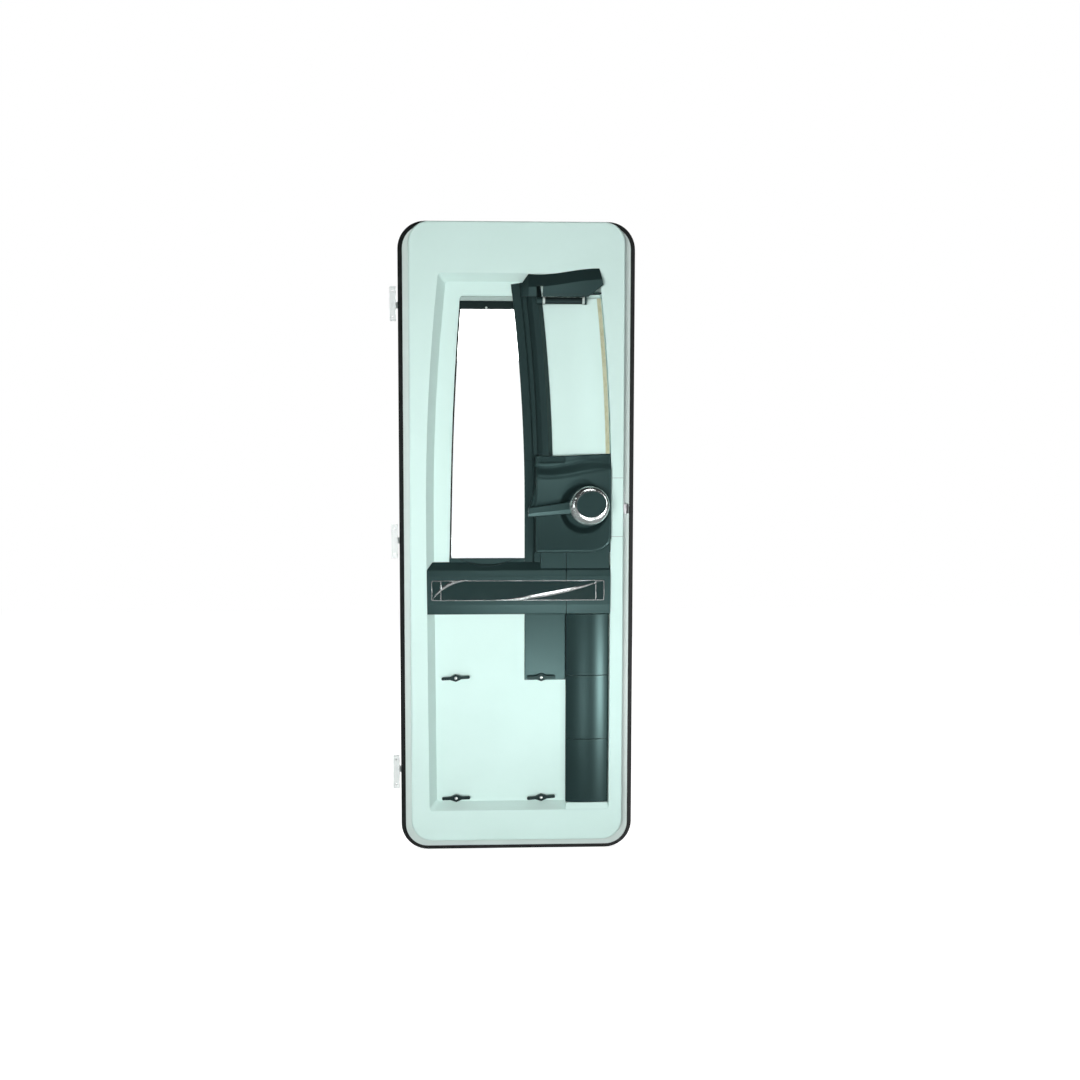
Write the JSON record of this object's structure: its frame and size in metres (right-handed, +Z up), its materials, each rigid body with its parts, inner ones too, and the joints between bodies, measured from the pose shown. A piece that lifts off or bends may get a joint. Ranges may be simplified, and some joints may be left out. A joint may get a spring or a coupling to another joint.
{
  "type": "caravan entry door",
  "caption": "Insulated caravan entry door with a narrow window, ribbed inner trim, hooded hanging rail, lever handle with a round knob, shelf bar and outside hinges.",
  "frame": {"origin": "centre of the lower hinge block's mounting face, on the outside face of the wall", "axes": "+X along the width from the hinges to the lock, +Y out of the vehicle, +Z up"},
  "size_m": [0.6615, 0.1553, 1.72],
  "materials": {
    "white_liner": "fine satin grain",
    "white_metal": "satin powder coat",
    "white_skin": "smooth gel coat",
    "seal_rubber": "matt",
    "window_rubber": "matt",
    "window_acrylic": "clear",
    "core_foam": "cut foam",
    "blind_grey": "satin",
    "blind_black": "satin",
    "slate_trim": "fine moulded grain",
    "rail_black": "satin",
    "bush_white": "satin",
    "bond_beige": "bare adhesive",
    "bright_chrome": "polished",
    "gloss_black": "high gloss",
    "hook_black": "satin",
    "latch_steel": "zinc plated",
    "pull_black": "satin",
    "key_steel": "polished",
    "hinge_white": "powder coat",
    "pin_steel": "ground"
  },
  "bodies": {
    "wall_side": {"hinge_block_lower": "hinge_white", "hinge_block_middle": "hinge_white", "hinge_block_upper": "hinge_white", "hinge_pins": "pin_steel"},
    "leaf": {"inner_liner": "white_liner", "lock_access_cover": "white_liner", "umbrella_channel": "white_liner", "column_foot": "white_liner", "edge_profile": "white_metal", "outer_skin": "white_skin", "perimeter_seal": "seal_rubber", "window_frame": "window_rubber", "window_pane": "window_acrylic", "foam_core": "core_foam", "blind_cassette": "blind_grey", "blind_rail": "blind_black", "pillar": "slate_trim", "hood": "slate_trim", "lock_housing": "slate_trim", "shelf_bar": "slate_trim", "bar_end_cover": "slate_trim", "filler_panel": "slate_trim", "column_cover_lower": "slate_trim", "column_cover_middle": "slate_trim", "column_cover_upper": "slate_trim", "stub_cover_left": "slate_trim", "stub_cover_right": "slate_trim", "hanging_rail": "rail_black", "rail_bushes": "bush_white", "blind_knob": "bush_white", "bonding_strip": "bond_beige", "chrome_bezel": "bright_chrome", "bar_insert": "gloss_black", "bin_hooks": "hook_black", "latch_case": "latch_steel", "outer_pull_plate": "pull_black", "outer_pull_grip": "pull_black", "key_cylinder": "key_steel", "hinge_strap_lower": "hinge_white", "hinge_strap_middle": "hinge_white", "hinge_strap_upper": "hinge_white"},
    "handle": {"handle_lever": "slate_trim", "handle_ring": "bright_chrome", "handle_cap": "slate_trim"},
    "latch": {"latch_bolt": "latch_steel"}
  },
  "joints": [
    {"name": "door_swing", "type": "hinge", "parent": "wall_side", "child": "leaf", "pos_m": [0, 0.038, 0.64], "axis": [0, 0, 1], "range_deg": [0, 170]},
    {"name": "handle_turn", "type": "hinge", "parent": "leaf", "child": "handle", "pos_m": [0.525, -0.056, 0.739], "axis": [0, -1, 0], "range_deg": [0, 40], "stiffness_Nm_per_rad": 3, "springref_deg": -11.46},
    {"name": "latch_slide", "type": "slide", "parent": "leaf", "child": "latch", "axis": [-1, 0, 0], "range_m": [0, 0.011]}
  ],
  "couplings": [
    {"joint": "latch_slide", "follows": "handle_turn", "m_per_rad": 0.01575}
  ]
}
